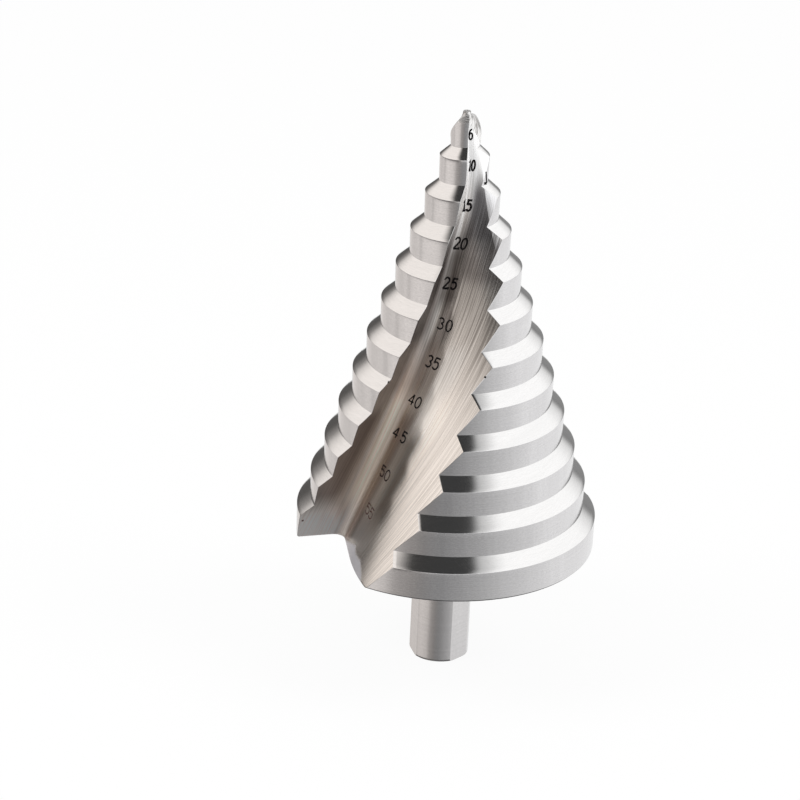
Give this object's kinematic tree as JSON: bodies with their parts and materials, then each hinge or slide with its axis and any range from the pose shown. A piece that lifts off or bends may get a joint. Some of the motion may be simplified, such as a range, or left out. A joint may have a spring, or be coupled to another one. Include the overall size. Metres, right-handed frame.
{
  "type": "step drill",
  "caption": "Stepped conical drill bit with helical flutes and a round shank with flats, for cutting graded holes in sheet metal.",
  "frame": {"origin": "centre of the shank's flat end face", "axes": "+Z along the drill's axis, from the shank to the point; the front flute leaves the underside towards -X"},
  "size_m": [0.06, 0.06, 0.116],
  "materials": {
    "ground_steel": "bare ground steel, turned lands and flutes ground along the helix"
  },
  "bodies": {
    "root": {"step_drill": "ground_steel"}
  },
  "joints": []
}
